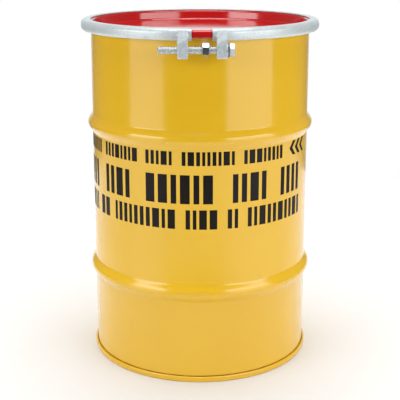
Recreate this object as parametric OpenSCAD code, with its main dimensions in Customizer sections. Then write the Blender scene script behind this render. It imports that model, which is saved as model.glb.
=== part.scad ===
// Open-head steel drum, about 114 litres: a rolled body with two rolling hoops, a seamed-in
// bottom head, a loose recessed lid with its gasket, and a split ring closed by one bolt.
// Millimetres, +Z up. The origin is on the drum's axis, in the plane it stands on. The ring's
// bolt is on the -Y side.

/* [Drum] */
// Inside radius of the rolled body
body_inner_r = 231.8; // [225:0.2:240]
// Thickness of the body's sheet
body_t = 1.2; // [1:0.1:1.5]
// Overall height, to the top of the closing ring
drum_h = 730; // [660:5:760]
// Thickness of the lid's and the bottom head's sheet
head_t = 1.5; // [1.2:0.1:1.6]

/* [Rolling hoops] */
// Height of the lower hoop's middle
hoop_low_z = 193; // [150:1:240]
// Height of the upper hoop's middle
hoop_high_z = 511; // [470:1:560]
// How far a hoop stands out from the body
hoop_out = 10; // [6:0.5:12]
// Half of a hoop's height
hoop_half_h = 20; // [16:1:26]

/* [Bottom] */
// Height of the double seam that joins the bottom head to the body
seam_h = 11.4; // [11:0.1:13]
// Height of the bottom head's panel above the ground
bottom_z = 18; // [16:0.5:22]

/* [Lid and gasket] */
// Depth of the lid's recess below its rim
lid_depth = 19.5; // [14:0.5:26]
// Lean of the recess's wall, in degrees
lid_draft = 8; // [0:1:10]
// Thickness of the gasket
gasket_t = 2.7; // [2:0.1:3]

/* [Closing ring] */
// Outside radius of the ring
ring_r = 253; // [252.8:0.1:254]
// Height of the ring's channel section
ring_h = 24; // [24:0.5:25]
// Thickness of the ring's sheet
ring_t = 2.7; // [2.4:0.1:2.8]
// Half of the gap between the ring's two ends
ring_gap_half = 20; // [15:1:24]

/* [Lugs and bolt] */
// Distance of the bolt's axis from the drum's axis
bolt_out = 262; // [262:0.5:264]
// Distance of the bolt's axis below the ring's top
bolt_drop = 39.5; // [39:0.5:42]
// Distance of a lug's inner face from the middle of the gap
lug_in = 27.2; // [26:0.2:32]
// Width of a lug along the bolt
lug_w = 19.5; // [16:0.5:24]
// Diameter of the bolt
bolt_d = 15.875; // [15.875]
// Length of the bolt under its head
bolt_len = 135; // [125:1:150]
// Width across the corners of the bolt's head and of the nut
hex_corners = 27.5; // [26:0.1:28]
// Distance of the lock nut's left face from the middle of the gap
nut_x = -0.4; // [-10:0.1:8]

/* [Hidden] */
$fn = 180;
yellow = [0.90, 0.71, 0.19];
red = [0.77, 0.10, 0.10];
zinc = [0.80, 0.83, 0.83];
rubber = [0.12, 0.12, 0.12];

// Sheet centre lines of the bottom double seam, from the inside outwards
seam_gap = 0.25;
wall_r = body_inner_r + body_t / 2;
chuck_r = body_inner_r - seam_gap - head_t / 2;
cover_hook_r = body_inner_r + body_t + seam_gap + head_t / 2;
body_hook_r = cover_hook_r + head_t / 2 + seam_gap + body_t / 2;
seam_out_r = body_hook_r + body_t / 2 + seam_gap + head_t / 2;
body_u_r = (body_hook_r - wall_r) / 2;
cover_u_r = (seam_out_r - cover_hook_r) / 2;
body_u_z = head_t + seam_gap + body_t / 2 + body_u_r;
cover_u_z = seam_h - head_t / 2 - cover_u_r;
rim_bend_r = 1.6;
panel_bend_r = 6;
step_out_r = 205;
step_in_r = 196;
step_drop = 4;
hook_clear = 0.1;
compound_w = 0.9;
compound_h = 0.6;

// Closure: the ring clamps the lid's flange and gasket down on the body's curl
fit_gap = 0.3;
curl_bend_r = 6;
curl_r = wall_r + curl_bend_r;
curl_z = drum_h - ring_h + ring_t + 0.5 + curl_bend_r + body_t / 2;
gasket_z = curl_z + curl_bend_r + body_t / 2 + fit_gap;
gasket_w = 8.4;
flange_z = gasket_z + gasket_t + head_t / 2;
lid_wall_r = body_inner_r - fit_gap - 0.35 - head_t / 2;
lid_bend_r = 4;
lid_panel_z = flange_z - lid_depth;
skirt_r = ring_r - ring_t - 1.3 - head_t / 2;
skirt_bend_r = 6;
hem_r = 3;

// Channel section of the ring
ring_corner_r = 10;
ring_top_in_r = 234;
ring_low_in_r = 237;
ring_low_z = drum_h - ring_h;
ring_gap_a = asin(ring_gap_half / (ring_r - ring_t / 2));

// Hardware
bolt_z = drum_h - bolt_drop;
bolt_y = -bolt_out;
bolt_r = bolt_d / 2;
thread_fit = 0.05;
head_h = 10;
head_turn = 12;
flat_t = 1.6;
flat_r = 14.2;
lock_t = 3;
lock_r = 13.4;
nut_h = 13.9;
lug_out = lug_in + lug_w;
head_x = lug_out + flat_t + lock_t;
lug_front = bolt_out + 12.5;
lug_back = bolt_out - 12.4;
lug_low_z = bolt_z - 15.3;
lug_top_z = drum_h - 3;
lug_shoulder_z = drum_h - 22;
shoulder_tilt = 38;
shoulder_lean = 30;
plain_bore_r = 8.75;
washer_bore_r = bolt_r + 0.2;
tip_chamfer = 1.5;
slot_w = 1;
saddle_gap = 0.1;
bead_r = 3.4;
bead_h = 10;
bead_z = ring_low_z + 5;

// Points of an arc around c, from angle a0 to a1 in n steps
function arc(c, r, a0, a1, n = 10) =
  [for (i = [0:n]) c + r * [cos(a0 + (a1 - a0) * i / n), sin(a0 + (a1 - a0) * i / n)]];

// Unit vector across a path's segment from p to q
function across(p, q) = [p.y - q.y, q.x - p.x] / norm(q - p);

// Offset vector at point i of a path that keeps both its segments one unit away
function mitre(path, i) =
  let (
    last = len(path) - 1,
    before = i > 0 ? across(path[i - 1], path[i]) : across(path[0], path[1]),
    after = i < last ? across(path[i], path[i + 1]) : before,
    sum = before + after
  )
  2 * sum / (sum * sum);

// Outline of a sheet of thickness t along a centre line
function sheet(path, t) =
  concat(
    [for (i = [0:len(path) - 1]) path[i] + mitre(path, i) * t / 2],
    [for (i = [len(path) - 1:-1:0]) path[i] - mitre(path, i) * t / 2]
  );

// Centre line of a rolling hoop, bottom to top: a bell with full shoulders
function hoop(z, n = 22) =
  [for (i = [-n:n]) [wall_r + hoop_out * pow((1 + cos(180 * i / n)) / 2, 0.7), z + hoop_half_h * i / n]];

// Centre line of a smooth step in a panel from radius r0 to r1 and height z0 to z1
function step(r0, r1, z0, z1, n = 8) =
  [for (i = [0:n]) [r0 + (r1 - r0) * i / n, z0 + (z1 - z0) * (1 - cos(180 * i / n)) / 2]];

module revolve(points) rotate_extrude() polygon(points);

// Turns a solid of revolution about Z into one about the bolt's axis, starting at x
module on_bolt(x) translate([x, bolt_y, bolt_z]) rotate([0, 90, 0]) children();

module body_shell() {
  seam_mid = [(wall_r + body_hook_r) / 2, body_u_z];
  color(yellow)
  revolve(sheet(concat(
    [[body_hook_r, cover_u_z - hook_clear]],
    arc(seam_mid, body_u_r, 0, -180),
    hoop(hoop_low_z),
    hoop(hoop_high_z),
    arc([curl_r, curl_z], curl_bend_r, 180, -120, 30)
  ), body_t));
}

module bottom_head() {
  bend_z = head_t / 2 + rim_bend_r;
  corner = [chuck_r - panel_bend_r, bottom_z - panel_bend_r];
  color(yellow)
  revolve(sheet(concat(
    [[cover_hook_r, body_u_z + 2 * hook_clear]],
    arc([(cover_hook_r + seam_out_r) / 2, cover_u_z], cover_u_r, 180, 0),
    arc([seam_out_r - rim_bend_r, bend_z], rim_bend_r, 0, -90, 6),
    arc([chuck_r + rim_bend_r, bend_z], rim_bend_r, -90, -180, 6),
    arc(corner, panel_bend_r, 0, 90, 8),
    step(step_out_r, step_in_r, bottom_z, bottom_z - step_drop),
    [[0, bottom_z - step_drop]]
  ), head_t));
}

// Bead of sealing compound in the fold of the body, under the tip of the cover hook
module seam_compound()
  color(rubber)
  translate([0, 0, body_u_z - body_u_r + body_t / 2 + seam_gap])
  rotate_extrude()
  translate([cover_hook_r - compound_w / 2, 0])
  square([compound_w, compound_h]);

module lid() {
  wall_drop = lid_depth - 2 * lid_bend_r * (1 - sin(lid_draft));
  corner_r = lid_wall_r + lid_bend_r * (1 - 2 * cos(lid_draft)) - wall_drop * tan(lid_draft);
  color(red)
  revolve(sheet(concat(
    arc([skirt_r - hem_r, curl_z - 1.5], hem_r, -60, 0, 6),
    arc([skirt_r - skirt_bend_r, flange_z - skirt_bend_r], skirt_bend_r, 0, 90, 8),
    arc([lid_wall_r + lid_bend_r, flange_z - lid_bend_r], lid_bend_r, 90, 180 - lid_draft, 8),
    arc([corner_r, lid_panel_z + lid_bend_r], lid_bend_r, -lid_draft, -90, 8),
    [[0, lid_panel_z]]
  ), head_t));
}

module lid_gasket() {
  inner_r = lid_wall_r + lid_bend_r + 0.6;
  r = gasket_t / 2;
  z = gasket_z + r;
  color(rubber)
  revolve(concat(
    arc([inner_r + r, z], r, 270, 90, 10),
    arc([inner_r + gasket_w - r, z], r, 90, -90, 10)
  ));
}

// Centre line of the ring's channel, from the top flange's edge round to the lower one's
function ring_line() =
  let (
    bend = ring_corner_r - ring_t / 2,
    r = ring_r - ring_corner_r
  )
  concat(
    [[ring_top_in_r, drum_h - ring_t / 2]],
    arc([r, drum_h - ring_corner_r], bend, 90, 0),
    arc([r, ring_low_z + ring_corner_r], bend, 0, -90),
    [[ring_low_in_r, ring_low_z + ring_t / 2]]
  );

module closing_ring()
  color(zinc)
  rotate([0, 0, -90 + ring_gap_a])
  rotate_extrude(angle = 360 - 2 * ring_gap_a)
  polygon(sheet(ring_line(), ring_t));

// Everything inside the ring's outer surface and a little more, to cut saddles with
module ring_envelope(grow) {
  r = ring_r - ring_corner_r;
  corner = ring_corner_r + grow;
  revolve(concat(
    [[0, drum_h + grow]],
    arc([r, drum_h - ring_corner_r], corner, 90, 0),
    arc([r, ring_low_z + ring_corner_r], corner, 0, -90),
    [[0, ring_low_z - grow]]
  ));
}

// Side view of a lug, as distance from the drum's axis and height
function lug_side() = concat(
  arc([lug_back + 2, lug_low_z + 2], 2, 180, 270, 4),
  arc([lug_front - 4, lug_low_z + 4], 4, 270, 360, 6),
  [[lug_front, lug_top_z], [ring_r - 8, lug_top_z], [lug_back, ring_low_z]]
);

// A forged lug on the right of the gap, with its saddle for the ring, a sloping shoulder and a
// bore. The shoulder leans down towards the gap, or away from it where lean is negative.
module lug(bore_r, lean)
  difference() {
    translate([lug_in, 0, 0])
    rotate([90, 0, -90])
    mirror([0, 0, 1])
    linear_extrude(lug_w)
    polygon(lug_side());
    translate([lug_in + lug_w / 2, -lug_front, lug_shoulder_z])
    rotate([shoulder_tilt, -lean, 0])
    translate([-2 * lug_w, -2 * lug_w, 0])
    cube([4 * lug_w, 4 * lug_w, 2 * lug_w]);
    ring_envelope(saddle_gap);
    on_bolt(lug_in - 1) cylinder(r = bore_r, h = lug_w + 2);
  }

module threaded_lug() color(zinc) mirror([1, 0, 0]) lug(bolt_r + thread_fit, -shoulder_lean);

module plain_lug() color(zinc) lug(plain_bore_r, shoulder_lean);

// Weld beads up both sides of each lug, lying against the ring's web
module lug_welds() {
  color(zinc)
  for (side = [-1, 1])
  for (x = [lug_in, lug_out])
  difference() {
    translate([side * x, -sqrt(ring_r * ring_r - x * x), bead_z]) cylinder(r = bead_r, h = bead_h);
    ring_envelope(saddle_gap);
    translate([side > 0 ? lug_in - thread_fit : -lug_out - thread_fit, -lug_front, bead_z - 1])
    cube([lug_w + 2 * thread_fit, lug_front, bead_h + 2]);
  }
}

// A hexagonal prism along Z with both faces' corners turned off at 30 degrees
module hexagon(h, both) {
  r = hex_corners / 2;
  flat = r * cos(30);
  drop = (r - flat) * tan(30);
  intersection() {
    cylinder(r = r, h = h, $fn = 6);
    revolve([
      [0, 0], [both ? flat : r, 0], [r, both ? drop : 0.1],
      [r, h - drop], [flat, h], [0, h]
    ]);
  }
}

module closure_bolt()
  color(zinc) {
    on_bolt(head_x) rotate([0, 0, head_turn]) hexagon(head_h, false);
    on_bolt(head_x - bolt_len)
    revolve([
      [0, 0], [bolt_r - tip_chamfer, 0], [bolt_r, tip_chamfer],
      [bolt_r, bolt_len + 1], [0, bolt_len + 1]
    ]);
  }

module ring_washer(x, r, t)
  on_bolt(x)
  difference() {
    cylinder(r = r, h = t);
    translate([0, 0, -1]) cylinder(r = washer_bore_r, h = t + 2);
    children();
  }

module flat_washer() color(zinc) ring_washer(lug_out, flat_r, flat_t) union() {}

// Spring washer, cut through at one side
module lock_washer()
  color(zinc)
  ring_washer(lug_out + flat_t, lock_r, lock_t)
  rotate([25, 0, 60])
  translate([0, -slot_w / 2, -5])
  cube([20, slot_w, 14]);

module lock_nut()
  color(zinc)
  difference() {
    on_bolt(nut_x) hexagon(nut_h, true);
    on_bolt(nut_x - 1) cylinder(r = bolt_r + thread_fit, h = nut_h + 2);
  }

body_shell();
bottom_head();
seam_compound();
lid();
lid_gasket();
closing_ring();
threaded_lug();
plain_lug();
lug_welds();
closure_bolt();
flat_washer();
lock_washer();
lock_nut();
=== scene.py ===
"""Looks of the open-head steel drum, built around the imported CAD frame. Metres, +Z up."""
import math
import random

import bmesh
import bpy
from mathutils import Euler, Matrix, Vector, noise


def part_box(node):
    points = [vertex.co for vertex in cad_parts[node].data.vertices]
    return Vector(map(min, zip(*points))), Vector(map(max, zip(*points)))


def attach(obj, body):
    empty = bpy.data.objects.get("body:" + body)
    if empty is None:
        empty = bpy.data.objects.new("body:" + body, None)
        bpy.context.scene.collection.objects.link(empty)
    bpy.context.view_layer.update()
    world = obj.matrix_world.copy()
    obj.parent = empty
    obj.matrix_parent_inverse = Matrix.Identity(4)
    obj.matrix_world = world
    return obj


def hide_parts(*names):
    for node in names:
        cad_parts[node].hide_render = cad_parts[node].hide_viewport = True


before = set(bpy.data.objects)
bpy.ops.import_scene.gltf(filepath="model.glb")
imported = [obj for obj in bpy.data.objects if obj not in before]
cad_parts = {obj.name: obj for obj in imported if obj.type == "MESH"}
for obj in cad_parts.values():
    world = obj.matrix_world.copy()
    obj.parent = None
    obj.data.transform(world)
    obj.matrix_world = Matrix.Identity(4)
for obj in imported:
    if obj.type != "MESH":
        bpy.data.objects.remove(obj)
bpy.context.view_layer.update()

# ---------------------------------------------------------------- sizes, from the frame
MM = 0.001
BODY_T = 1.2 * MM
HEAD_T = 1.5 * MM
RING_T = 2.7 * MM
SEAM_GAP = 0.25 * MM
SEGMENTS = 288

body_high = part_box("body_shell")[1]
head_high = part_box("bottom_head")[1]
lid_low, lid_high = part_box("lid")
gasket_low, gasket_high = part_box("lid_gasket")
ring_low, ring_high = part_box("closing_ring")
plain_low, plain_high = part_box("plain_lug")
threaded_low, threaded_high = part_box("threaded_lug")
weld_low, weld_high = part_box("lug_welds")
bolt_low, bolt_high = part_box("closure_bolt")
flat_low, flat_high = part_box("flat_washer")
lock_low, lock_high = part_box("lock_washer")
nut_low, nut_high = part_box("lock_nut")

# Body: rolled wall, two rolling hoops and the curl at the top
CURL_BEND = 6 * MM
WALL_R = body_high.x - 2 * CURL_BEND - BODY_T / 2
OUTER_R = WALL_R + BODY_T / 2
INNER_R = WALL_R - BODY_T / 2
HOOP_OUT = 10 * MM
HOOP_HALF = 20 * MM
HOOP_LOW_Z = 193 * MM
HOOP_HIGH_Z = 511 * MM
CURL_R = WALL_R + CURL_BEND
CURL_Z = body_high.z - CURL_BEND - BODY_T / 2

# Bottom double seam, from the chuck wall out to the cover hook
CHUCK_R = INNER_R - SEAM_GAP - HEAD_T / 2
COVER_HOOK_R = OUTER_R + SEAM_GAP + HEAD_T / 2
BODY_HOOK_R = COVER_HOOK_R + HEAD_T / 2 + SEAM_GAP + BODY_T / 2
SEAM_OUT_R = BODY_HOOK_R + BODY_T / 2 + SEAM_GAP + HEAD_T / 2
SEAM_H = 11.4 * MM
BODY_U_R = (BODY_HOOK_R - WALL_R) / 2
COVER_U_R = (SEAM_OUT_R - COVER_HOOK_R) / 2
BODY_U_Z = HEAD_T + SEAM_GAP + BODY_T / 2 + BODY_U_R
COVER_U_Z = SEAM_H - HEAD_T / 2 - COVER_U_R
RIM_BEND = 1.6 * MM
HEAD_BEND = 6 * MM
STEP_OUT_R = 205 * MM
STEP_IN_R = 196 * MM
STEP_DROP = 4 * MM
BOTTOM_Z = head_high.z - HEAD_T / 2
SIDE_WELD_AT = 104
SIDE_WELD_W = 7 * MM
SIDE_WELD_H = 0.30 * MM

# Lid, closing ring and lugs
FLANGE_Z = lid_high.z - HEAD_T / 2
PANEL_Z = lid_low.z + HEAD_T / 2
SKIRT_R = lid_high.x - HEAD_T / 2
LID_CLEARANCE = 0.65 * MM
LID_WALL_R = INNER_R - LID_CLEARANCE - HEAD_T / 2
LID_DRAFT = 8
LID_HEM = 3 * MM
LID_SKIRT_BEND = 6 * MM
LID_BEND = 4 * MM
GASKET_IN = 4.6 * MM
RING_CORNER = 10 * MM
RING_TOP_IN_R = 234 * MM
RING_LOW_IN_R = 237 * MM
RING_GAP_HALF = 20 * MM
LUG_DEPTH = 24.9 * MM
LUG_TOP_DROP = 3 * MM
LUG_BACK_R = 2 * MM
LUG_FRONT_R = 4 * MM
LUG_TOP_IN = 8 * MM
LUG_VOXEL = 0.55 * MM
LUG_MERGE = 0.02 * MM
SADDLE_GAP = 0.1 * MM
SHOULDER_DROP = 22 * MM
SHOULDER_TILT = 38
SHOULDER_LEAN = 30
BORE_MOUTH = 1.2 * MM
BEAD_R = 3.2 * MM
BEAD_INSET = 1.5 * MM

# Bolt, nut and washers
BOLT_AXIS_Z = (nut_low.z + nut_high.z) / 2
BOLT_AXIS_Y = (nut_low.y + nut_high.y) / 2
HEX_CORNER = (nut_high.z - nut_low.z) / 2
HEAD_TURN = math.radians(12)
HEX_FLAT = HEX_CORNER * math.cos(math.radians(30))
HEX_CHAMFER = math.tan(math.radians(30))
BOLT_R = 15.875 / 2 * MM
THREAD_PITCH = 25.4 / 11 * MM
THREAD_DEPTH = 1.25 * MM
THREAD_FIT = 0.05 * MM
TIP_CHAMFER = 1.8 * MM
NECK_L = 1.5 * MM
NECK_CUT = 0.4 * MM
PLAIN_BORE_R = 8.75 * MM
HEAD_H = 10 * MM

# Printed marking, in millimetres, and the angles it runs between
INK_LIFT = 0.12 * MM
INK_DEPTH = 0.2 * MM
INK_STEP = math.radians(1.25)
MARKING_END = -150
MARKING_ROWS = [
    # name, low, high, right-hand end in degrees, stroke, gap, bars in each group, group gap
    ("marking_row_top", 460, 488, 45, 7.5, 4.2, (8, 9, 5), 16),
    ("marking_row_middle", 382, 441, 61, 11.5, 7.5, (4, 4, 6), 33),
    ("marking_row_low", 329.5, 369.5, 62, 9.0, 5.5, (10, 2, 4), 16),
]
STROKES = (0.8, 1.0, 1.0, 1.7)
MARKING_SEED = 30
CHEVRON_Z = (460, 490)
CHEVRON_AT = (51, 67)

# Studio, in metres and degrees
FLOOR_R = 1.6
SOFTBOX_DISTANCE = 1.85
SOFTBOX_SPLIT = 0.95
SOFTBOX_TOP = 1.7


# ---------------------------------------------------------------- outlines and meshes
def arc(centre, radius, a0, a1, n=12):
    """Points of an arc from angle a0 to a1, in degrees."""
    turn = [math.radians(a0 + (a1 - a0) * i / n) for i in range(n + 1)]
    return [(centre[0] + radius * math.cos(t), centre[1] + radius * math.sin(t)) for t in turn]


def normals(path):
    """Mitred unit offsets, to the left of an open path."""
    across = []
    for p, q in zip(path, path[1:]):
        length = math.hypot(q[0] - p[0], q[1] - p[1])
        across.append(((p[1] - q[1]) / length, (q[0] - p[0]) / length))
    across = [across[0]] + across + [across[-1]]
    result = []
    for a, b in zip(across, across[1:]):
        s = (a[0] + b[0], a[1] + b[1])
        scale = 2 / (s[0] ** 2 + s[1] ** 2)
        result.append((s[0] * scale, s[1] * scale))
    return result


def sheet(path, t, round_end=True):
    """Closed outline of a sheet of thickness t on a centre line, with rounded edges."""
    n = normals(path)
    left = [(p[0] + m[0] * t / 2, p[1] + m[1] * t / 2) for p, m in zip(path, n)]
    right = [(p[0] - m[0] * t / 2, p[1] - m[1] * t / 2) for p, m in zip(path, n)]

    def cap(tip, m):
        a = math.degrees(math.atan2(m[1], m[0]))
        return arc(tip, t / 2, a, a - 180, 6)[1:-1]

    outline = list(left)
    if round_end:
        outline += cap(path[-1], n[-1])
    outline += right[::-1]
    outline += cap(path[0], (-n[0][0], -n[0][1]))
    return outline


def new_piece(name, verts, faces, sharp=35):
    """A smooth-shaded mesh object, with creases where faces meet at more than sharp degrees."""
    mesh = bpy.data.meshes.new(name)
    mesh.from_pydata(verts, [], faces)
    mesh.validate()
    obj = bpy.data.objects.new(name, mesh)
    bpy.context.scene.collection.objects.link(obj)
    fix_normals(obj)
    mesh.shade_smooth()
    mesh.set_sharp_from_angle(angle=math.radians(sharp))
    return obj


def ring_faces(rings, around, base=0, closed=False):
    """Faces between successive rings of points; closed also joins the last ring to the first."""
    faces = []
    for i in range(rings if closed else rings - 1):
        here = base + i * around
        there = base + (i + 1) % rings * around
        for j in range(around):
            k = (j + 1) % around
            faces.append((here + j, there + j, there + k, here + k))
    return faces


def fix_normals(obj, merge=1e-7):
    """Merges points that coincide and turns every face of a closed mesh outwards."""
    bm = bmesh.new()
    bm.from_mesh(obj.data)
    bmesh.ops.remove_doubles(bm, verts=bm.verts, dist=merge)
    bmesh.ops.dissolve_degenerate(bm, edges=bm.edges, dist=merge)
    bmesh.ops.recalc_face_normals(bm, faces=bm.faces)
    bm.to_mesh(obj.data)
    bm.free()


def drop_fins(obj):
    """Removes pairs of triangles on the same three points, which an exact boolean can leave."""
    bm = bmesh.new()
    bm.from_mesh(obj.data)
    bmesh.ops.triangulate(bm, faces=bm.faces)
    same = {}
    for face in bm.faces:
        same.setdefault(frozenset(v.index for v in face.verts), []).append(face)
    fins = [face for faces in same.values() if len(faces) > 1 for face in faces]
    bmesh.ops.delete(bm, geom=fins, context="FACES")
    bm.to_mesh(obj.data)
    bm.free()


def lathe(name, outline, segments=SEGMENTS, start=0.0, sweep=360.0, sharp=35):
    """Turns a closed outline of (radius, height) about Z; a partial turn gets end caps."""
    closed = sweep >= 360
    steps = segments if closed else segments + 1
    count = len(outline)
    verts = []
    for i in range(steps):
        a = math.radians(start + sweep * i / segments)
        verts += [(r * math.cos(a), r * math.sin(a), z) for r, z in outline]
    faces = ring_faces(steps, count, closed=closed)
    if not closed:
        faces.append(tuple(range(count)))
        faces.append(tuple(range((steps - 1) * count, steps * count)))
    return new_piece(name, verts, faces, sharp)


def along_bolt(obj, x):
    """Turns a piece made about Z onto the bolt's axis, its base at x."""
    for v in obj.data.vertices:
        a, b, c = v.co
        v.co = (x + c, BOLT_AXIS_Y + b, BOLT_AXIS_Z - a)
    obj.data.update()
    return obj


def bell(t):
    """A rolling hoop's swelling, 1 at its middle and 0 at t = -1 and 1."""
    return ((1 + math.cos(math.pi * t)) / 2) ** 0.7


def hoop(z, n=36):
    """Centre line of a rolling hoop, bottom to top."""
    steps = [i / n for i in range(-n, n + 1)]
    return [(WALL_R + HOOP_OUT * bell(t), z + HOOP_HALF * t) for t in steps]


def wall_radius(z):
    """Outer radius of the body at a height."""
    for middle in (HOOP_LOW_Z, HOOP_HIGH_Z):
        if abs(z - middle) < HOOP_HALF:
            return OUTER_R + HOOP_OUT * bell((z - middle) / HOOP_HALF)
    return OUTER_R


# ---------------------------------------------------------------- drum body
def make_body():
    """The shell: body hook, wall with two hoops, and the curl at the top."""
    seam_mid = ((WALL_R + BODY_HOOK_R) / 2, BODY_U_Z)
    path = [(BODY_HOOK_R, COVER_U_Z - 0.1 * MM)]
    path += arc(seam_mid, BODY_U_R, 0, -180)
    path += hoop(HOOP_LOW_Z) + hoop(HOOP_HIGH_Z)
    path += arc((CURL_R, CURL_Z), CURL_BEND, 180, -120, 40)
    return lathe("drum_body", sheet(path, BODY_T))


def make_bottom():
    """The bottom head: cover hook, rim, chuck wall, and a panel with one shallow step."""
    bend_z = HEAD_T / 2 + RIM_BEND
    steps = 12
    path = [(COVER_HOOK_R, BODY_U_Z + 0.2 * MM)]
    path += arc(((COVER_HOOK_R + SEAM_OUT_R) / 2, COVER_U_Z), COVER_U_R, 180, 0, 16)
    path += arc((SEAM_OUT_R - RIM_BEND, bend_z), RIM_BEND, 0, -90, 8)
    path += arc((CHUCK_R + RIM_BEND, bend_z), RIM_BEND, -90, -180, 8)
    path += arc((CHUCK_R - HEAD_BEND, BOTTOM_Z - HEAD_BEND), HEAD_BEND, 0, 90, 12)
    for i in range(steps + 1):
        drop = STEP_DROP * (1 - math.cos(math.pi * i / steps)) / 2
        path.append((STEP_OUT_R + (STEP_IN_R - STEP_OUT_R) * i / steps, BOTTOM_Z - drop))
    path += [(r, BOTTOM_Z - STEP_DROP) for r in (0.15, 0.08, 0)]
    return lathe("bottom_chime_and_head", sheet(path, HEAD_T, round_end=False))


def make_side_weld():
    """Flattened longitudinal weld up the back of the body."""
    across, up = 8, 420
    z0, z1 = SEAM_H + 0.6 * MM, ring_low.z - 1.0 * MM
    wander_by, ripple_by, ripple_pitch, sunk = 0.6 * MM, 0.06 * MM, 4.2 * MM, 0.05 * MM
    verts = []
    for i in range(up + 1):
        z = z0 + (z1 - z0) * i / up
        wall = wall_radius(z)
        wander = wander_by * noise.noise(Vector((z * 9, 0.3, 0)))
        ripple = ripple_by * math.sin(z * 2 * math.pi / ripple_pitch)
        for j in range(across + 1):
            s = j / across * 2 - 1
            r = wall + (SIDE_WELD_H + ripple) * (1 - s * s) ** 0.6 - sunk
            a = math.radians(SIDE_WELD_AT) + (s * SIDE_WELD_W / 2 + wander) / wall
            verts.append((r * math.cos(a), r * math.sin(a), z))
    return strip("side_seam_weld", verts, across, up, 0.4 * MM)


def strip(name, verts, across, up, depth):
    """A closed strip from a grid of outer points, its back set in by depth towards the axis."""
    outer = len(verts)
    backs = []
    for x, y, z in verts:
        r = math.hypot(x, y)
        backs.append((x * (1 - depth / r), y * (1 - depth / r), z))
    row = across + 1
    faces = []
    for i in range(up):
        for j in range(across):
            a = i * row + j
            faces.append((a, a + 1, a + row + 1, a + row))
            faces.append((outer + a, outer + a + row, outer + a + row + 1, outer + a + 1))
    edge = list(range(row))
    edge += [i * row + across for i in range(1, up + 1)]
    edge += [up * row + j for j in range(across - 1, -1, -1)]
    edge += [i * row for i in range(up - 1, 0, -1)]
    for a, b in zip(edge, edge[1:] + edge[:1]):
        faces.append((a, outer + a, outer + b, b))
    return new_piece(name, verts + backs, faces, 40)


# ---------------------------------------------------------------- lid, gasket and ring
def make_lid():
    """The lid: hemmed skirt, flange over the curl, leaning wall and sunken panel."""
    lean = math.radians(LID_DRAFT)
    wall_drop = FLANGE_Z - PANEL_Z - 2 * LID_BEND * (1 - math.sin(lean))
    corner_r = LID_WALL_R + LID_BEND * (1 - 2 * math.cos(lean)) - wall_drop * math.tan(lean)
    skirt_mid = (SKIRT_R - LID_SKIRT_BEND, FLANGE_Z - LID_SKIRT_BEND)
    path = arc((SKIRT_R - LID_HEM, CURL_Z - 1.5 * MM), LID_HEM, -60, 0, 8)
    path += arc(skirt_mid, LID_SKIRT_BEND, 0, 90, 14)
    path += arc((LID_WALL_R + LID_BEND, FLANGE_Z - LID_BEND), LID_BEND, 90, 180 - LID_DRAFT, 14)
    path += arc((corner_r, PANEL_Z + LID_BEND), LID_BEND, -LID_DRAFT, -90, 14)
    path += [(r, PANEL_Z) for r in (0.2, 0.15, 0.1, 0.05, 0.0)]
    return lathe("lid_pan", sheet(path, HEAD_T, round_end=False))


def make_gasket():
    """A flat rubber ring with round edges, under the lid's flange."""
    r = (gasket_high.z - gasket_low.z) / 2
    z = gasket_low.z + r
    inner = LID_WALL_R + GASKET_IN
    outer = gasket_high.x
    outline = arc((inner + r, z), r, 270, 90, 10) + arc((outer - r, z), r, 90, -90, 10)
    return lathe("gasket", outline, segments=192)


def channel(bend):
    """The ring's two corners, with a bend radius about their shared centres."""
    r = ring_high.x - RING_CORNER
    upper = arc((r, ring_high.z - RING_CORNER), bend, 90, 0, 16)
    return upper + arc((r, ring_low.z + RING_CORNER), bend, 0, -90, 16)


def make_ring():
    """The split ring: a channel open to the inside, with a gap at the front."""
    path = [(RING_TOP_IN_R, ring_high.z - RING_T / 2)]
    path += channel(RING_CORNER - RING_T / 2)
    path.append((RING_LOW_IN_R, ring_low.z + RING_T / 2))
    half_gap = math.degrees(math.asin(RING_GAP_HALF / (ring_high.x - RING_T / 2)))
    outline = sheet(path, RING_T)
    return lathe("clamp_ring", outline, 360, -90 + half_gap, 360 - 2 * half_gap)


# ---------------------------------------------------------------- lugs and welds
def lug_outline():
    """Side view of a lug as (distance from the drum's axis, height)."""
    front = -plain_low.y
    back = front - LUG_DEPTH
    low = plain_low.z
    top = ring_high.z - LUG_TOP_DROP
    path = arc((back + LUG_BACK_R, low + LUG_BACK_R), LUG_BACK_R, 180, 270, 4)
    path += arc((front - LUG_FRONT_R, low + LUG_FRONT_R), LUG_FRONT_R, 270, 360, 6)
    path += [(front, top), (ring_high.x - LUG_TOP_IN, top), (back, ring_low.z)]
    return path


def cut(obj, tool):
    """Cuts one piece with a tool, and removes the tool."""
    mod = obj.modifiers.new("cut", "BOOLEAN")
    mod.operation = "DIFFERENCE"
    mod.solver = "EXACT"
    mod.object = tool
    apply_modifiers(obj)
    bpy.data.objects.remove(tool)


def apply_modifiers(obj):
    """Replaces a piece's mesh by what its modifiers make of it."""
    deps = bpy.context.evaluated_depsgraph_get()
    mesh = bpy.data.meshes.new_from_object(obj.evaluated_get(deps))
    obj.modifiers.clear()
    obj.data = mesh
    mesh.name = obj.name


def shoulder_tool(middle_x):
    """The space above a lug's sloping shoulder, which also leans sideways."""
    turn = Euler((math.radians(SHOULDER_TILT), math.radians(-SHOULDER_LEAN), 0)).to_matrix()
    place = Vector((middle_x, plain_low.y, ring_high.z - SHOULDER_DROP))
    reach = 40 * MM
    square = [(-reach, -reach), (reach, -reach), (reach, reach), (-reach, reach)]
    verts = [place + turn @ Vector((x, y, z)) for z in (0, 2 * reach) for x, y in square]
    faces = [(0, 1, 2, 3), (4, 5, 6, 7)]
    faces += [(i, (i + 1) % 4, (i + 1) % 4 + 4, i + 4) for i in range(4)]
    return new_piece("shoulder_tool", verts, faces)


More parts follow.
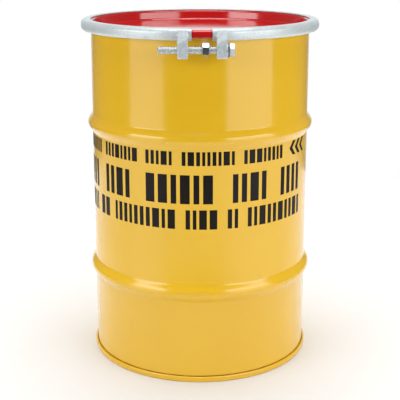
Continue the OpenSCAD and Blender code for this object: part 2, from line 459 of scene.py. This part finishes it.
def bore_tool(bore_r, length):
    """A bore along Z with a chamfered mouth at both ends."""
    mouth_r = bore_r + BORE_MOUTH
    over, mouth, throat = 2 * MM, 0.4 * MM, 1.4 * MM
    outline = [(0, -over), (mouth_r, -over), (mouth_r, mouth), (bore_r, throat)]
    outline += [(bore_r, length - throat), (mouth_r, length - mouth)]
    outline += [(mouth_r, length + over), (0, length + over)]
    return lathe("bore_tool", outline, 64)


def make_lug(name, low_x, high_x, bore_r):
    """A drop-forged lug: sloping shoulder, rounded edges, a saddle for the ring and a bore."""
    outline = lug_outline()
    count = len(outline)
    verts = [(low_x, -r, z) for r, z in outline] + [(high_x, -r, z) for r, z in outline]
    faces = [tuple(range(count)), tuple(range(2 * count - 1, count - 1, -1))]
    for i in range(count):
        j = (i + 1) % count
        faces.append((i, count + i, count + j, j))
    lug = new_piece(name, verts, faces, 30)
    cut(lug, shoulder_tool((low_x + high_x) / 2))
    skin = lug.modifiers.new("skin", "REMESH")
    skin.mode = "VOXEL"
    skin.voxel_size = LUG_VOXEL
    soften = lug.modifiers.new("soften", "SMOOTH")
    soften.factor = 0.5
    soften.iterations = 9
    apply_modifiers(lug)
    inside_r = 0.2
    saddle = [(inside_r, ring_high.z + SADDLE_GAP)] + channel(RING_CORNER + SADDLE_GAP)
    saddle.append((inside_r, ring_low.z - SADDLE_GAP))
    cut(lug, lathe("saddle_tool", saddle, 360))
    cut(lug, along_bolt(bore_tool(bore_r, high_x - low_x), low_x))
    fix_normals(lug, LUG_MERGE)
    drop_fins(lug)
    lug.data.shade_smooth()
    lug.data.set_sharp_from_angle(angle=math.radians(38))
    return lug


def make_welds():
    """A rippled fillet up both sides of each lug."""
    verts, faces = [], []
    around, up = 16, 56
    z0, z1 = weld_low.z + BEAD_INSET, weld_high.z - BEAD_INSET
    for x in (threaded_low.x, threaded_high.x, plain_low.x, plain_high.x):
        centre_y = -math.sqrt(ring_high.x ** 2 - x * x)
        base = len(verts)
        for i in range(up + 1):
            t = i / up
            z = z0 + (z1 - z0) * t
            swell = math.sin(math.pi * min(max(t, 0.02), 0.98)) ** 0.35
            ripple = 1 + 0.10 * abs(math.sin(t * math.pi * 6.5 + x * 90))
            radius = BEAD_R * swell * ripple
            for j in range(around):
                a = 2 * math.pi * j / around
                verts.append((x + radius * math.cos(a), centre_y + radius * math.sin(a), z))
        faces += ring_faces(up + 1, around, base)
        faces.append(tuple(base + j for j in range(around)))
        faces.append(tuple(base + up * around + j for j in range(around)))
    return new_piece("ring_weld_beads", verts, faces, 60)


# ---------------------------------------------------------------- bolt, nut and washers
def hex_reach(angle):
    """Distance from the axis to a hexagon's side, corners at 0, 60, 120 degrees and so on."""
    turn = (math.degrees(angle) + 360) % 60 - 30
    return HEX_FLAT / math.cos(math.radians(turn))


def tooth(phase):
    """Height of a rolled thread's rounded tooth, from 0 to 1, along one pitch."""
    rise = 1 - abs(2 * phase - 1)
    rise = min(1.0, max(0.0, rise * 1.35 - 0.15))
    return rise * rise * (3 - 2 * rise)


def make_shank():
    """The bolt's shank: a right-hand rolled thread with a chamfered tip, plain at its neck."""
    length = bolt_high.x - bolt_low.x - HEAD_H
    per_turn, around = 12, 48
    rows = int(length / THREAD_PITCH * per_turn)
    verts = []
    for i in range(rows + 1):
        z = length * i / rows
        tip = max(0.0, TIP_CHAMFER - z)
        for j in range(around):
            phase = (z / THREAD_PITCH - j / around) % 1.0
            radius = min(BOLT_R - THREAD_DEPTH * (1 - tooth(phase)), BOLT_R - tip)
            if z > length - NECK_L:
                radius = BOLT_R - NECK_CUT
            a = 2 * math.pi * j / around
            verts.append((radius * math.cos(a), radius * math.sin(a), z))
    faces = ring_faces(rows + 1, around)
    faces.append(tuple(range(around)))
    faces.append(tuple(rows * around + j for j in range(around)))
    return along_bolt(new_piece("bolt_shank", verts, faces, 50), bolt_low.x)


def make_head():
    """The bolt's hexagon head, with chamfered corners and a shallow dish in its end."""
    around = 120
    pad_r, face_r, dish_r, dish = HEX_FLAT * 0.97, HEX_FLAT * 0.96, HEX_FLAT * 0.80, 0.4 * MM
    worn, edge = 0.15 * MM, 0.3 * MM
    verts = [(0, 0, 0.0), (0, 0, HEAD_H - dish)]
    for i in range(around):
        a = 2 * math.pi * i / around
        reach = hex_reach(a - HEAD_TURN)
        top = HEAD_H - (reach - face_r) * HEX_CHAMFER
        profile = [
            (pad_r, 0.0), (pad_r, 0.4 * MM), (reach - worn, 0.45 * MM),
            (reach, 0.45 * MM + edge), (reach, top - edge),
            (reach - worn, top), (face_r, HEAD_H),
            (HEX_FLAT * 0.86, HEAD_H), (dish_r, HEAD_H - dish),
        ]
        verts += [(r * math.cos(a), r * math.sin(a), z) for r, z in profile]
    count = len(profile)
    faces = []
    for i in range(around):
        here, there = 2 + i * count, 2 + (i + 1) % around * count
        for j in range(count - 1):
            faces.append((here + j, there + j, there + j + 1, here + j + 1))
        faces.append((0, there, here))
        faces.append((1, here + count - 1, there + count - 1))
    return along_bolt(new_piece("bolt_head", verts, faces, 20), bolt_high.x - HEAD_H)


def make_nut():
    """The lock nut: corners turned off at both ends, and a chamfered bore."""
    around = 120
    height = nut_high.x - nut_low.x
    bore_r = BOLT_R + THREAD_FIT
    pad_r, mouth, worn, edge = HEX_FLAT * 0.97, 0.9 * MM, 0.12 * MM, 0.25 * MM
    verts = []
    for i in range(around):
        a = 2 * math.pi * i / around
        reach = hex_reach(a)
        drop = (reach - pad_r) * HEX_CHAMFER
        profile = [
            (bore_r + mouth, 0.0), (pad_r, 0.0), (reach - worn, drop),
            (reach, drop + edge), (reach, height - drop - edge),
            (reach - worn, height - drop), (pad_r, height),
            (bore_r + mouth, height), (bore_r, height - mouth), (bore_r, mouth),
        ]
        verts += [(r * math.cos(a), r * math.sin(a), z) for r, z in profile]
    faces = ring_faces(around, len(profile), closed=True)
    return along_bolt(new_piece("hex_nut", verts, faces, 20), nut_low.x)


def make_flat_washer():
    """A flat washer with rounded edges."""
    t = flat_high.x - flat_low.x
    r = (flat_high.z - flat_low.z) / 2
    e = 0.35 * MM
    inner = BOLT_R + 0.2 * MM + e
    outline = arc((r - e, e), e, -90, 0, 4) + arc((r - e, t - e), e, 0, 90, 4)
    outline += arc((inner, t - e), e, 90, 180, 4)
    outline += arc((inner, e), e, 180, 270, 4)
    return along_bolt(lathe("plain_washer", outline, 96), flat_low.x)


def make_lock_washer():
    """A spring washer: a split ring whose ends stand slightly out of line."""
    t = lock_high.x - lock_low.x
    r = (lock_high.z - lock_low.z) / 2
    inner = BOLT_R + 0.25 * MM
    e = 0.4 * MM
    rise = 0.5 * MM
    start, sweep = -118, 354
    outline = arc((r - e, e), e, -90, 0, 3) + arc((r - e, t - rise - e), e, 0, 90, 3)
    outline += [(inner, t - rise), (inner, 0)]
    washer = lathe("spring_washer", outline, 120, start, sweep)
    for v in washer.data.vertices:
        a = (math.degrees(math.atan2(v.co.y, v.co.x)) - start) % 360
        v.co.z += rise * a / sweep
    return along_bolt(washer, lock_low.x)


# ---------------------------------------------------------------- printed marking
def ink_patch(verts, faces, corners):
    """Adds a thin closed patch to the body.

    Its corners are (angle, z) at left low, left high, right high and right low.
    """
    (a0, z0), (a1, z1), (a2, z2), (a3, z3) = corners
    columns = max(1, int(max(abs(a3 - a0), abs(a2 - a1)) / INK_STEP) + 1)
    base = len(verts)
    for i in range(columns + 1):
        t = i / columns
        low = (a0 + (a3 - a0) * t, z0 + (z3 - z0) * t)
        high = (a1 + (a2 - a1) * t, z1 + (z2 - z1) * t)
        for radius in (OUTER_R + INK_LIFT, OUTER_R - INK_DEPTH):
            for a, z in (low, high):
                verts.append((radius * math.sin(a), -radius * math.cos(a), z))
    for i in range(columns):
        p, q = base + 4 * i, base + 4 * (i + 1)
        faces.append((p, q, q + 1, p + 1))
        faces.append((p + 2, p + 3, q + 3, q + 2))
        faces.append((p, p + 2, q + 2, q))
        faces.append((p + 1, q + 1, q + 3, p + 3))
    last = base + 4 * columns
    faces.append((base, base + 1, base + 3, base + 2))
    faces.append((last, last + 2, last + 3, last + 1))


def make_marking_row(name, low, high, right, left, stroke, gap, blocks, block_gap, rng):
    """A row of upright bars in groups, from the right end round to the left."""
    verts, faces = [], []
    a = right
    slot = 0
    while a > left:
        for _ in range(blocks[slot % len(blocks)]):
            width = stroke * rng.choice(STROKES) / OUTER_R
            if a - width < left:
                break
            ink_patch(verts, faces, [(a - width, low), (a - width, high), (a, high), (a, low)])
            a -= width + gap / OUTER_R
        a -= block_gap / OUTER_R
        slot += 1
    return new_piece(name, verts, faces, 30)


def make_chevrons(low, high, left, right, count=3):
    """Chevrons that point left, at the right end of the first row."""
    verts, faces = [], []
    pitch = (right - left) / count
    middle = (low + high) / 2
    arm = pitch * 0.62
    thick = pitch * 0.52
    parting = 0.01 * MM
    for i in range(count):
        a = left + i * pitch
        for end, inner in ((low, middle - parting), (high, middle + parting)):
            corners = [(a + arm, end), (a, inner), (a + thick, inner), (a + arm + thick, end)]
            ink_patch(verts, faces, corners)
    return new_piece("marking_chevrons", verts, faces, 30)


# ---------------------------------------------------------------- materials
def material(name, colour, metallic, roughness):
    """A Principled material, with its node tree and shader."""
    mat = bpy.data.materials.new(name)
    mat.use_nodes = True
    tree = mat.node_tree
    shader = tree.nodes["Principled BSDF"]
    shader.inputs["Base Color"].default_value = (*linear(colour), 1)
    shader.inputs["Metallic"].default_value = metallic
    shader.inputs["Roughness"].default_value = roughness
    return mat, tree, shader


def linear(colour):
    """An sRGB colour from 0 to 255 as linear values."""
    scaled = [c / 255 for c in colour]
    return [c / 12.92 if c <= 0.04045 else ((c + 0.055) / 1.055) ** 2.4 for c in scaled]


def add(tree, kind, **inputs):
    """A shader node, with its sockets set to numbers or linked to other nodes' outputs."""
    n = tree.nodes.new(kind)
    for key, value in inputs.items():
        socket = n.inputs[key.replace("_", " ")]
        if isinstance(value, bpy.types.NodeSocket):
            tree.links.new(value, socket)
        else:
            socket.default_value = value
    return n


def coordinates(tree, scale=(1, 1, 1)):
    """Object coordinates in metres, scaled along each axis."""
    place = tree.nodes.new("ShaderNodeTexCoord")
    mapping = tree.nodes.new("ShaderNodeMapping")
    mapping.inputs["Scale"].default_value = scale
    tree.links.new(place.outputs["Object"], mapping.inputs["Vector"])
    return mapping.outputs["Vector"]


def noise_at(tree, where, scale, detail=3.0, rough=0.5):
    """Noise at the given coordinates, scale being its number of cells in a metre."""
    n = add(tree, "ShaderNodeTexNoise", Scale=scale, Detail=detail, Roughness=rough)
    tree.links.new(where, n.inputs["Vector"])
    return n.outputs["Fac"]


def ramp(tree, value, stops):
    """A colour ramp through (position, colour) stops."""
    n = tree.nodes.new("ShaderNodeValToRGB")
    tree.links.new(value, n.inputs["Fac"])
    elements = n.color_ramp.elements
    while len(elements) < len(stops):
        elements.new(0.5)
    for e, (at, colour) in zip(elements, stops):
        e.position = at
        e.color = (*colour, 1)
    return n.outputs["Color"]


def grey(v):
    """A linear grey."""
    return (v, v, v)


def remap(tree, value, low, high, to_low, to_high):
    """A value carried from one range to another, and held at its ends."""
    n = add(tree, "ShaderNodeMapRange")
    tree.links.new(value, n.inputs["Value"])
    for key, v in (("From Min", low), ("From Max", high), ("To Min", to_low), ("To Max", to_high)):
        n.inputs[key].default_value = v
    return n.outputs["Result"]


def mix(tree, factor, a, b):
    """A mix of two colours; each of the three may be a value or another node's output."""
    n = tree.nodes.new("ShaderNodeMix")
    n.data_type = "RGBA"
    inputs = {"factor": n.inputs[0], "a": n.inputs[6], "b": n.inputs[7]}
    for key, value in (("factor", factor), ("a", a), ("b", b)):
        if isinstance(value, bpy.types.NodeSocket):
            tree.links.new(value, inputs[key])
        elif key == "factor":
            inputs[key].default_value = value
        else:
            inputs[key].default_value = (*value, 1)
    return n.outputs[2]


def bump(tree, shader, height, strength, distance, after=None):
    """Surface relief, laid over an earlier relief where after is given."""
    n = add(tree, "ShaderNodeBump", Strength=strength, Distance=distance)
    tree.links.new(height, n.inputs["Height"])
    if after is not None:
        tree.links.new(after, n.inputs["Normal"])
    tree.links.new(n.outputs["Normal"], shader.inputs["Normal"])
    return n.outputs["Normal"]


def axis_distance(tree):
    """Distance from the drum's axis."""
    flat = add(tree, "ShaderNodeVectorMath")
    flat.operation = "LENGTH"
    tree.links.new(coordinates(tree, (1, 1, 0)), flat.inputs[0])
    return flat.outputs["Value"]


def height_above_floor(tree):
    """Height above the plane the drum stands on."""
    apart = tree.nodes.new("ShaderNodeSeparateXYZ")
    tree.links.new(coordinates(tree), apart.inputs["Vector"])
    return apart.outputs["Z"]


def multiply(tree, a, b):
    """The product of two nodes' outputs."""
    n = tree.nodes.new("ShaderNodeMath")
    n.operation = "MULTIPLY"
    tree.links.new(a, n.inputs[0])
    tree.links.new(b, n.inputs[1])
    return n.outputs[0]


def rolling_wear_and_seam_shade(tree, base):
    """Rubbed crests on the rolling hoops, and a painted shade line in the corner just above the
    seam.
    """
    crest = remap(tree, axis_distance(tree), OUTER_R + 0.72 * HOOP_OUT, OUTER_R + HOOP_OUT, 0, 1)
    on_hoops = remap(tree, height_above_floor(tree), SEAM_H, HOOP_LOW_Z - HOOP_HALF, 0, 1)
    patches = noise_at(tree, coordinates(tree, (1, 1, 2)), 24, 6, 0.7)
    worn = ramp(tree, patches, [(0.50, grey(0)), (0.68, grey(1))])
    rub = multiply(tree, multiply(tree, crest, on_hoops), worn)
    base = mix(tree, remap(tree, rub, 0, 1, 0, 0.35), base, linear((214, 170, 74)))
    # Painted shade: a dark brown band on the wall just above the seam, where the corner's shade
    # falls, broken up by noise.
    line_low, line_high = SEAM_H - 1.0 * MM, SEAM_H + 2.2 * MM
    above = ramp(tree, remap(tree, height_above_floor(tree), line_low, line_high, 0, 1), [
        (0.0, grey(0)), (0.18, grey(1)), (0.55, grey(0.8)), (1.0, grey(0)),
    ])
    inner = remap(tree, axis_distance(tree), COVER_HOOK_R + 0.4 * MM, COVER_HOOK_R, 0, 1)
    broken = remap(tree, noise_at(tree, coordinates(tree), 45, 4), 0.3, 0.6, 0.55, 0.95)
    seam_shade = multiply(tree, multiply(tree, above, inner), broken)
    return mix(tree, seam_shade, base, linear((92, 62, 18))), rub


def enamel(name, colour, deep, rough=0.2, coat=0.6, body=False):
    """Glossy baked enamel: slight orange peel, slow colour drift, dust and rub marks; on the body
    also a painted shade line above the seam.
    """
    mat, tree, shader = material(name, colour, 0.0, rough)
    where = coordinates(tree)
    drift = noise_at(tree, where, 3.0, 4)
    base = mix(tree, remap(tree, drift, 0.3, 0.7, 0, 1), linear(colour), linear(deep))
    scuff = noise_at(tree, coordinates(tree, (1, 1, 0.35)), 38, 6, 0.65)
    marks = ramp(tree, scuff, [(0.66, grey(0)), (0.74, grey(1))])
    faded = [min(1, c * 1.12 + 0.03) for c in linear(colour)]
    base = mix(tree, remap(tree, marks, 0, 1, 0, 0.18), base, faded)
    blotch = noise_at(tree, where, 9, 5)
    dull = remap(tree, blotch, 0.3, 0.75, rough - 0.05, rough + 0.08)
    if body:
        base, rub = rolling_wear_and_seam_shade(tree, base)
        dull = mix(tree, rub, dull, grey(0.5))
    tree.links.new(base, shader.inputs["Base Color"])
    tree.links.new(dull, shader.inputs["Roughness"])
    shader.inputs["Coat Weight"].default_value = coat
    shader.inputs["Coat Roughness"].default_value = 0.10
    shader.inputs["Coat IOR"].default_value = 1.5
    peel = noise_at(tree, where, 260, 2)
    wave = noise_at(tree, where, 14, 2)
    first = bump(tree, shader, wave, 0.25, 1.2 * MM)
    bump(tree, shader, peel, 0.10, 0.25 * MM, first)
    return mat


def galvanised(name, colour, rough):
    """Zinc-coated steel: faint spangle, satin sheen, darker handling marks."""
    mat, tree, shader = material(name, colour, 0.4, rough)
    where = coordinates(tree)
    spangle = add(tree, "ShaderNodeTexVoronoi", Scale=240.0)
    tree.links.new(where, spangle.inputs["Vector"])
    tint = remap(tree, spangle.outputs["Distance"], 0.0, 0.7, 0, 1)
    base = mix(tree, tint, linear(colour), [c * 0.86 for c in linear(colour)])
    stain = noise_at(tree, where, 55, 6, 0.6)
    spots = ramp(tree, stain, [(0.52, grey(0)), (0.75, grey(1))])
    base = mix(tree, remap(tree, spots, 0, 1, 0, 0.2), base, linear((160, 165, 166)))
    tree.links.new(base, shader.inputs["Base Color"])
    cloud = noise_at(tree, where, 90, 4)
    satin = remap(tree, cloud, 0.3, 0.7, rough - 0.07, rough + 0.1)
    tree.links.new(satin, shader.inputs["Roughness"])
    fine = noise_at(tree, where, 700, 3)
    bump(tree, shader, fine, 0.12, 0.2 * MM)
    return mat


def forged(name):
    """Zinc-plated forging: scaled skin, softer sheen."""
    mat, tree, shader = material(name, (205, 210, 212), 0.3, 0.45)
    where = coordinates(tree)
    skin = noise_at(tree, where, 420, 5, 0.6)
    pits = noise_at(tree, where, 160, 3, 0.5)
    light, dark = linear((214, 224, 228)), linear((190, 199, 203))
    base = mix(tree, remap(tree, pits, 0.35, 0.7, 0, 1), light, dark)
    tree.links.new(base, shader.inputs["Base Color"])
    tree.links.new(remap(tree, skin, 0.3, 0.7, 0.34, 0.52), shader.inputs["Roughness"])
    first = bump(tree, shader, pits, 0.35, 0.6 * MM)
    bump(tree, shader, skin, 0.25, 0.3 * MM, first)
    return mat


def plated(name, colour, rough, metallic=1.0):
    """Bright zinc plate with fine turning marks."""
    mat, tree, shader = material(name, colour, metallic, rough)
    where = coordinates(tree, (6, 1, 1))
    lines = noise_at(tree, where, 380, 2)
    light, dark = linear(colour), [c * 0.8 for c in linear(colour)]
    base = mix(tree, remap(tree, lines, 0.3, 0.7, 0, 1), light, dark)
    tree.links.new(base, shader.inputs["Base Color"])
    smear = noise_at(tree, coordinates(tree), 120, 4)
    sheen = remap(tree, smear, 0.3, 0.7, rough - 0.06, rough + 0.1)
    tree.links.new(sheen, shader.inputs["Roughness"])
    bump(tree, shader, lines, 0.12, 0.12 * MM)
    return mat


def rubber(name, colour):
    """Matt rubber or compound with a greyish bloom."""
    mat, tree, shader = material(name, colour, 0.0, 0.62)
    where = coordinates(tree)
    grain = noise_at(tree, where, 900, 3)
    bloom = noise_at(tree, where, 60, 4)
    base = mix(tree, remap(tree, bloom, 0.35, 0.7, 0, 1), linear(colour), linear((58, 57, 55)))
    tree.links.new(base, shader.inputs["Base Color"])
    tree.links.new(remap(tree, bloom, 0.3, 0.7, 0.5, 0.75), shader.inputs["Roughness"])
    bump(tree, shader, grain, 0.2, 0.2 * MM)
    return mat


def ink(name):
    """Screen-printed ink: near black, slightly uneven, semi-gloss."""
    mat, tree, shader = material(name, (20, 15, 12), 0.0, 0.4)
    shader.inputs["Specular IOR Level"].default_value = 0.2
    where = coordinates(tree)
    weave = noise_at(tree, where, 300, 4)
    dark, light = linear((16, 12, 9)), linear((30, 23, 18))
    base = mix(tree, remap(tree, weave, 0.35, 0.7, 0, 1), dark, light)
    tree.links.new(base, shader.inputs["Base Color"])
    tree.links.new(remap(tree, weave, 0.3, 0.7, 0.32, 0.48), shader.inputs["Roughness"])
    bump(tree, shader, weave, 0.12, 0.1 * MM)
    return mat


def give(obj, mat, body, slot, *replaced):
    """Dresses a piece, hides what it stands for and puts it on its body. The slot argument is not
    used.
    """
    obj.data.materials.clear()
    obj.data.materials.append(mat)
    if replaced:
        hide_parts(*replaced)
    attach(obj, body)


# ---------------------------------------------------------------- the drum, dressed
yellow = enamel("yellow_enamel", (242, 193, 35), (237, 186, 27), body=True)
red = enamel("red_enamel", (214, 20, 18), (202, 12, 12), 0.12, 1.0)
zinc = galvanised("galvanised_ring", (228, 238, 240), 0.42)
forging = forged("forged_zinc")
plate = plated("plated_fastener", (222, 228, 230), 0.32, 0.45)
thread_plate = plated("plated_thread", (222, 228, 230), 0.26, 0.85)
bright_plate = plated("bright_plate", (200, 206, 212), 0.16)
# Painted shade: the plated finish darkened, standing for the shade the lock washer sits in between
# the lug and the bolt head.
shaded_plate = plated("shaded_plate", (120, 124, 128), 0.38)
black_rubber = rubber("gasket_rubber", (26, 26, 27))
compound = rubber("sealing_compound", (48, 42, 36))
print_ink = ink("marking_ink")

give(make_body(), yellow, "drum", "yellow_enamel", "body_shell")
give(make_bottom(), yellow, "drum", "yellow_enamel", "bottom_head")
give(make_side_weld(), yellow, "drum", "yellow_enamel")
give(make_lid(), red, "lid_unit", "red_enamel", "lid")
give(make_gasket(), black_rubber, "lid_unit", "gasket_rubber", "lid_gasket")
give(make_ring(), zinc, "ring_unit", "galvanised_ring", "closing_ring")
left_lug = make_lug("lug_threaded", threaded_low.x, threaded_high.x, BOLT_R + THREAD_FIT)
give(left_lug, forging, "ring_unit", "forged_zinc", "threaded_lug")
right_lug = make_lug("lug_plain", plain_low.x, plain_high.x, PLAIN_BORE_R)
give(right_lug, forging, "ring_unit", "forged_zinc", "plain_lug")
give(make_welds(), forging, "ring_unit", "forged_zinc", "lug_welds")
give(make_shank(), thread_plate, "bolt_unit", "plated_fastener", "closure_bolt")
give(make_head(), plate, "bolt_unit", "plated_fastener")
give(make_nut(), bright_plate, "nut_unit", "plated_fastener", "lock_nut")
give(make_flat_washer(), plate, "washer_unit", "plated_fastener", "flat_washer")
# The lock washer gets the darkened plate, which is painted shade.
give(make_lock_washer(), shaded_plate, "washer_unit", "plated_fastener", "lock_washer")

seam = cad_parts["seam_compound"]
seam.data.materials.clear()
seam.data.materials.append(compound)

rng = random.Random(MARKING_SEED)
for name, low, high, right, stroke, gap, blocks, block_gap in MARKING_ROWS:
    row = make_marking_row(
        name, low * MM, high * MM, math.radians(right), math.radians(MARKING_END),
        stroke * MM, gap * MM, blocks, block_gap * MM, rng,
    )
    give(row, print_ink, "drum", "marking_ink")
chevrons = make_chevrons(*[z * MM for z in CHEVRON_Z], *[math.radians(a) for a in CHEVRON_AT])
give(chevrons, print_ink, "drum", "marking_ink")


# ---------------------------------------------------------------- floor, light and camera
def make_floor():
    """A round white floor, small enough that the upper body mirrors the dark studio beyond it."""
    around = 96
    verts = [polar(360 * i / around, FLOOR_R, 0) for i in range(around)]
    mesh = bpy.data.meshes.new("floor")
    mesh.from_pydata(verts, [], [tuple(range(around))])
    floor = bpy.data.objects.new("floor", mesh)
    bpy.context.scene.collection.objects.link(floor)
    floor.data.materials.append(material("floor_white", (230, 230, 230), 0.0, 0.6)[0])


def softbox(name, azimuth, half_angle, low, high, radiance):
    """An upright light at an azimuth, wide enough to fill the angle seen from the drum."""
    height = high - low
    width = 2 * SOFTBOX_DISTANCE * math.sin(math.radians(half_angle))
    data = bpy.data.lights.new(name, "AREA")
    data.shape = "RECTANGLE"
    data.size = width
    data.size_y = height
    data.energy = radiance * math.pi * width * height
    light = bpy.data.objects.new(name, data)
    bpy.context.scene.collection.objects.link(light)
    light.location = polar(azimuth, SOFTBOX_DISTANCE, (low + high) / 2)
    light.rotation_euler = (math.radians(90), 0, math.radians(azimuth))
    return light


def polar(azimuth, distance, height):
    """A point at an azimuth from the front, positive to the right."""
    a = math.radians(azimuth)
    return (distance * math.sin(a), -distance * math.cos(a), height)


def make_world():
    """White behind the drum, greyer at the sides and dark in front; the view itself sees white."""
    world = bpy.data.worlds.new("studio")
    bpy.context.scene.world = world
    world.use_nodes = True
    tree = world.node_tree
    background = tree.nodes["Background"]
    where = tree.nodes.new("ShaderNodeTexCoord")
    apart = tree.nodes.new("ShaderNodeSeparateXYZ")
    tree.links.new(where.outputs["Generated"], apart.inputs["Vector"])
    round_about = ramp(tree, remap(tree, apart.outputs["Y"], -1, 1, 0, 1), [
        (0.05, grey(0.10)), (0.30, grey(0.14)), (0.94, grey(0.16)), (0.985, grey(1.0)),
    ])
    seen = tree.nodes.new("ShaderNodeLightPath").outputs["Is Camera Ray"]
    tree.links.new(mix(tree, seen, round_about, (1, 1, 1)), background.inputs["Color"])
    background.inputs["Strength"].default_value = 1.0


def make_lights():
    """A softbox each side, brighter above; soft fills behind, overhead and on the backdrop."""
    sides = (("left_softbox", -54.5, 19.5, 1.4, 3.8), ("right_softbox", 49.5, 27.5, 1.5, 3.0))
    for name, azimuth, half_angle, lower, upper in sides:
        softbox(name, azimuth, half_angle, 0, SOFTBOX_SPLIT, lower)
        softbox(name + "_top", azimuth, half_angle, SOFTBOX_SPLIT, SOFTBOX_TOP, upper)
    for side in (-1, 1):
        softbox("fill", side * 125, 22, 0.6, 1.8, 1.3).visible_glossy = False
    data = bpy.data.lights.new("overhead", "SUN")
    data.energy = 2.2
    data.angle = math.radians(54)
    overhead = bpy.data.objects.new("overhead", data)
    bpy.context.scene.collection.objects.link(overhead)
    backdrop = softbox("backdrop_light", 180, 60, 0, 1.8, 1.2)
    backdrop.location = (0, 1.7, 1.9)
    backdrop.rotation_euler = (0, 0, 0)
    backdrop.visible_glossy = False


def make_camera():
    """The photograph's viewpoint, a little above the drum's top and looking down its length."""
    distance, height = 2.02, 0.9015
    azimuth, look_down = -0.9, 13.5
    sensor, focal_in_widths = 36, 2.347
    data = bpy.data.cameras.new("camera")
    data.sensor_width = sensor
    data.lens = focal_in_widths * sensor
    data.shift_y = -0.10
    data.clip_end = 50
    camera = bpy.data.objects.new("camera", data)
    bpy.context.scene.collection.objects.link(camera)
    camera.location = polar(azimuth, distance, height)
    camera.rotation_euler = (math.radians(90 - look_down), 0, math.radians(azimuth))
    bpy.context.scene.camera = camera


make_floor()
make_world()
make_lights()
make_camera()
bpy.context.scene.view_settings.view_transform = "Standard"
